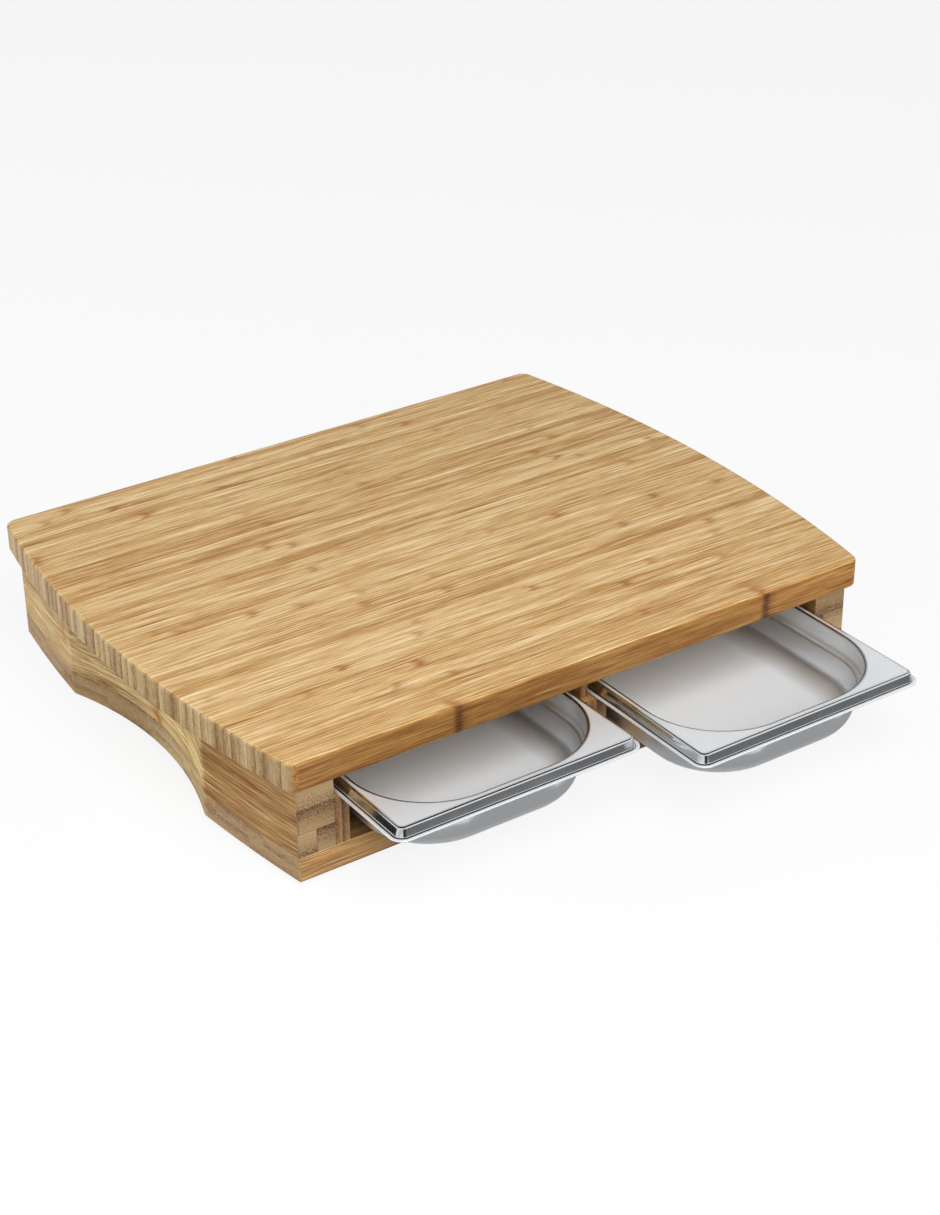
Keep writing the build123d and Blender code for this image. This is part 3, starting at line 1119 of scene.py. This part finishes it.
def rubber():
    r = Recipe("foot rubber")
    place = r.add("ShaderNodeTexCoord").outputs["Object"]
    grain = r.noise(place, scale=1500.0, detail=2.0)
    bump = r.add("ShaderNodeBump", {"Height": grain, "Strength": 0.2, "Distance": 0.05 * mm})
    return r.finish(base_color=srgb(44, 43, 42), roughness=0.75, normal=bump.outputs[0])


# %% Grow the feet
foot = foot_rule()
foot_rubber = rubber()
for node in ("foot_front_left", "foot_front_right", "foot_back_left", "foot_back_right"):
    low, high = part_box(node)
    sizes = {
        "Sole": 19 * mm,
        "Top": high.x - low.x,
        "Height": high.z - low.z,
        "Hole": 3 * mm,
        "Counterbore": 6.4 * mm,
        "Step": 2.1 * mm,
        "Groove": 0.5 * mm,
    }
    start = [((low.x + high.x) / 2, (low.y + high.y) / 2, low.z)]
    piece = grow(node + "_rubber", foot, start, foot_rubber, sizes)
    shade(piece.data, 30)
    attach(piece, "board_and_base")
    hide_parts(node)


# %% Beech dowels
def beech():
    r = Recipe("beech dowel")
    place = r.add("ShaderNodeTexCoord").outputs["Object"]
    fleck = r.noise(place, scale=900.0, detail=2.0)
    colour = r.mix(fleck, srgb(214, 178, 134), srgb(190, 146, 100))
    return r.finish(base_color=colour, roughness=0.6)


beech_dowel = beech()
for node in ("panel_dowels", "back_wall_dowels"):
    dress(node, beech_dowel)

# %% [markdown]
# ## Floor and light
#
# The photograph has a bare white background. A pale floor that runs out of the picture
# gives that and still catches a soft shadow. The lamps are large, so that shadows are soft.

# %% Floor
floor_size = 12.0
floor_mesh = bpy.data.meshes.new("floor")
half = floor_size / 2
floor_mesh.from_pydata(
    [(-half, -half, 0), (half, -half, 0), (half, half, 0), (-half, half, 0)], [], [(0, 1, 2, 3)]
)
floor = link("floor", floor_mesh)

# The camera sees the floor glow nearly white, and the lamps' soft shadows on it
r = Recipe("floor white")
paper = r.add("ShaderNodeBsdfDiffuse", {"Color": (0.6, 0.6, 0.6, 1)})
glow = r.add("ShaderNodeEmission", {"Color": (1, 1, 1, 1), "Strength": 1.02})
rays = r.add("ShaderNodeLightPath").outputs
seen = r.math("MAXIMUM", rays["Is Camera Ray"], rays["Is Transmission Ray"])
share = r.math("MULTIPLY", seen, 0.85)
mixed = r.add("ShaderNodeMixShader", {0: share, 1: paper.outputs[0], 2: glow.outputs[0]})
r.add("ShaderNodeOutputMaterial", {"Surface": mixed.outputs[0]})
floor_mesh.materials.append(r.material)

# %% World
world = bpy.data.worlds.new("studio")
bpy.context.scene.world = world
world.use_nodes = True
air = Chain(world.node_tree)
rays = air.add("ShaderNodeLightPath").outputs
seen = air.math("MAXIMUM", rays["Is Camera Ray"], rays["Is Glossy Ray"])
seen = air.math("MAXIMUM", seen, rays["Is Transmission Ray"])
level = air.add("ShaderNodeMapRange", {"Value": seen, "To Min": 0.3, "To Max": 1.0})
sky = air.add("ShaderNodeBackground", {"Strength": level.outputs["Result"]})
air.add("ShaderNodeOutputWorld", {"Surface": sky.outputs[0]})
bpy.context.scene.view_settings.view_transform = "Standard"


# %% Lamps
def lamp(name, place, aim, size, power):
    """A large square lamp that points at a place on the object, and leaves no bright spot."""
    data = bpy.data.lights.new(name, "AREA")
    data.shape = "SQUARE"
    data.size = size
    data.energy = power
    thing = bpy.data.objects.new(name, data)
    bpy.context.scene.collection.objects.link(thing)
    direction = (Vector(aim) - Vector(place)).to_track_quat("-Z", "Y")
    thing.matrix_world = Matrix.Translation(place) @ direction.to_matrix().to_4x4()
    thing.visible_glossy = False


lamp("top lamp", (-0.35, -1.1, 1.45), (0.0, -0.1, 0.08), 1.3, 32)
lamp("left lamp", (-1.7, 1.15, 0.5), (0, -0.05, 0.05), 1.2, 42)
lamp("front lamp", (0.0, -2.1, 0.75), (0, -0.1, 0.05), 1.2, 27)

# %% [markdown]
# ## Dark cards
#
# Polished steel only shows what stands around it. In an all-white room its edges vanish, so
# a photographer stands dark cards where the bends of the rim reflect them. These bands are
# seen by reflections alone: they throw no shade and no camera sees them.


# %% Dark cards
def card(name, middle, spread, rims, shade):
    """A band between two circles, each given by its radius and height, in front of one side."""
    steps = 24
    points = []
    faces = []
    for step in range(steps + 1):
        around = math.radians(middle + spread * (2 * step / steps - 1))
        for radius, height in rims:
            points.append((radius * math.cos(around), radius * math.sin(around), height))
    for step in range(steps):
        faces.append((2 * step, 2 * step + 1, 2 * step + 3, 2 * step + 2))
    mesh = bpy.data.meshes.new(name)
    mesh.from_pydata(points, [], faces)
    r = Recipe(name)
    grey = r.add("ShaderNodeEmission", {"Color": (shade, shade, shade, 1), "Strength": 1.0})
    r.add("ShaderNodeOutputMaterial", {"Surface": grey.outputs[0]})
    mesh.materials.append(r.material)
    band = link(name, mesh)
    band.visible_camera = False
    band.visible_diffuse = False
    band.visible_shadow = False
    band.visible_transmission = False


def dome(low, high, radius=4.0):
    """The two circles of a dome's band, between two angles above the table."""
    angles = (math.radians(low), math.radians(high))
    return [(radius * math.cos(angle), radius * math.sin(angle)) for angle in angles]


card("card_ceiling", 0, 180, dome(50, 89.5), 0.03)
card("card_back", 56, 75, dome(42, 50), 0.02)
# This card lies on the table round the trays at a fixed grey: painted shade of the table, seen in
# reflections only
card("card_near_table", 275, 75, [(0.2, 1 * mm), (0.6, 1 * mm)], 0.34)
card("card_table", 300, 40, [(0.6, 1 * mm), (3.0, 1 * mm)], 0.13)
card("card_far_table", 45, 60, [(0.8, 1 * mm), (3.0, 1 * mm)], 0.06)
card("card_left_table", 176, 24, [(0.2, 2 * mm), (0.75, 2 * mm)], 0.02)
card("card_left", 140, 40, [(1.0, 2 * mm), (4.0, 0.6)], 0.03)
card("card_near", 258, 14, [(1.0, 2 * mm), (4.0, 0.6)], 0.02)
card("card_right", 10, 50, [(1.0, 2 * mm), (4.0, 0.6)], 0.03)
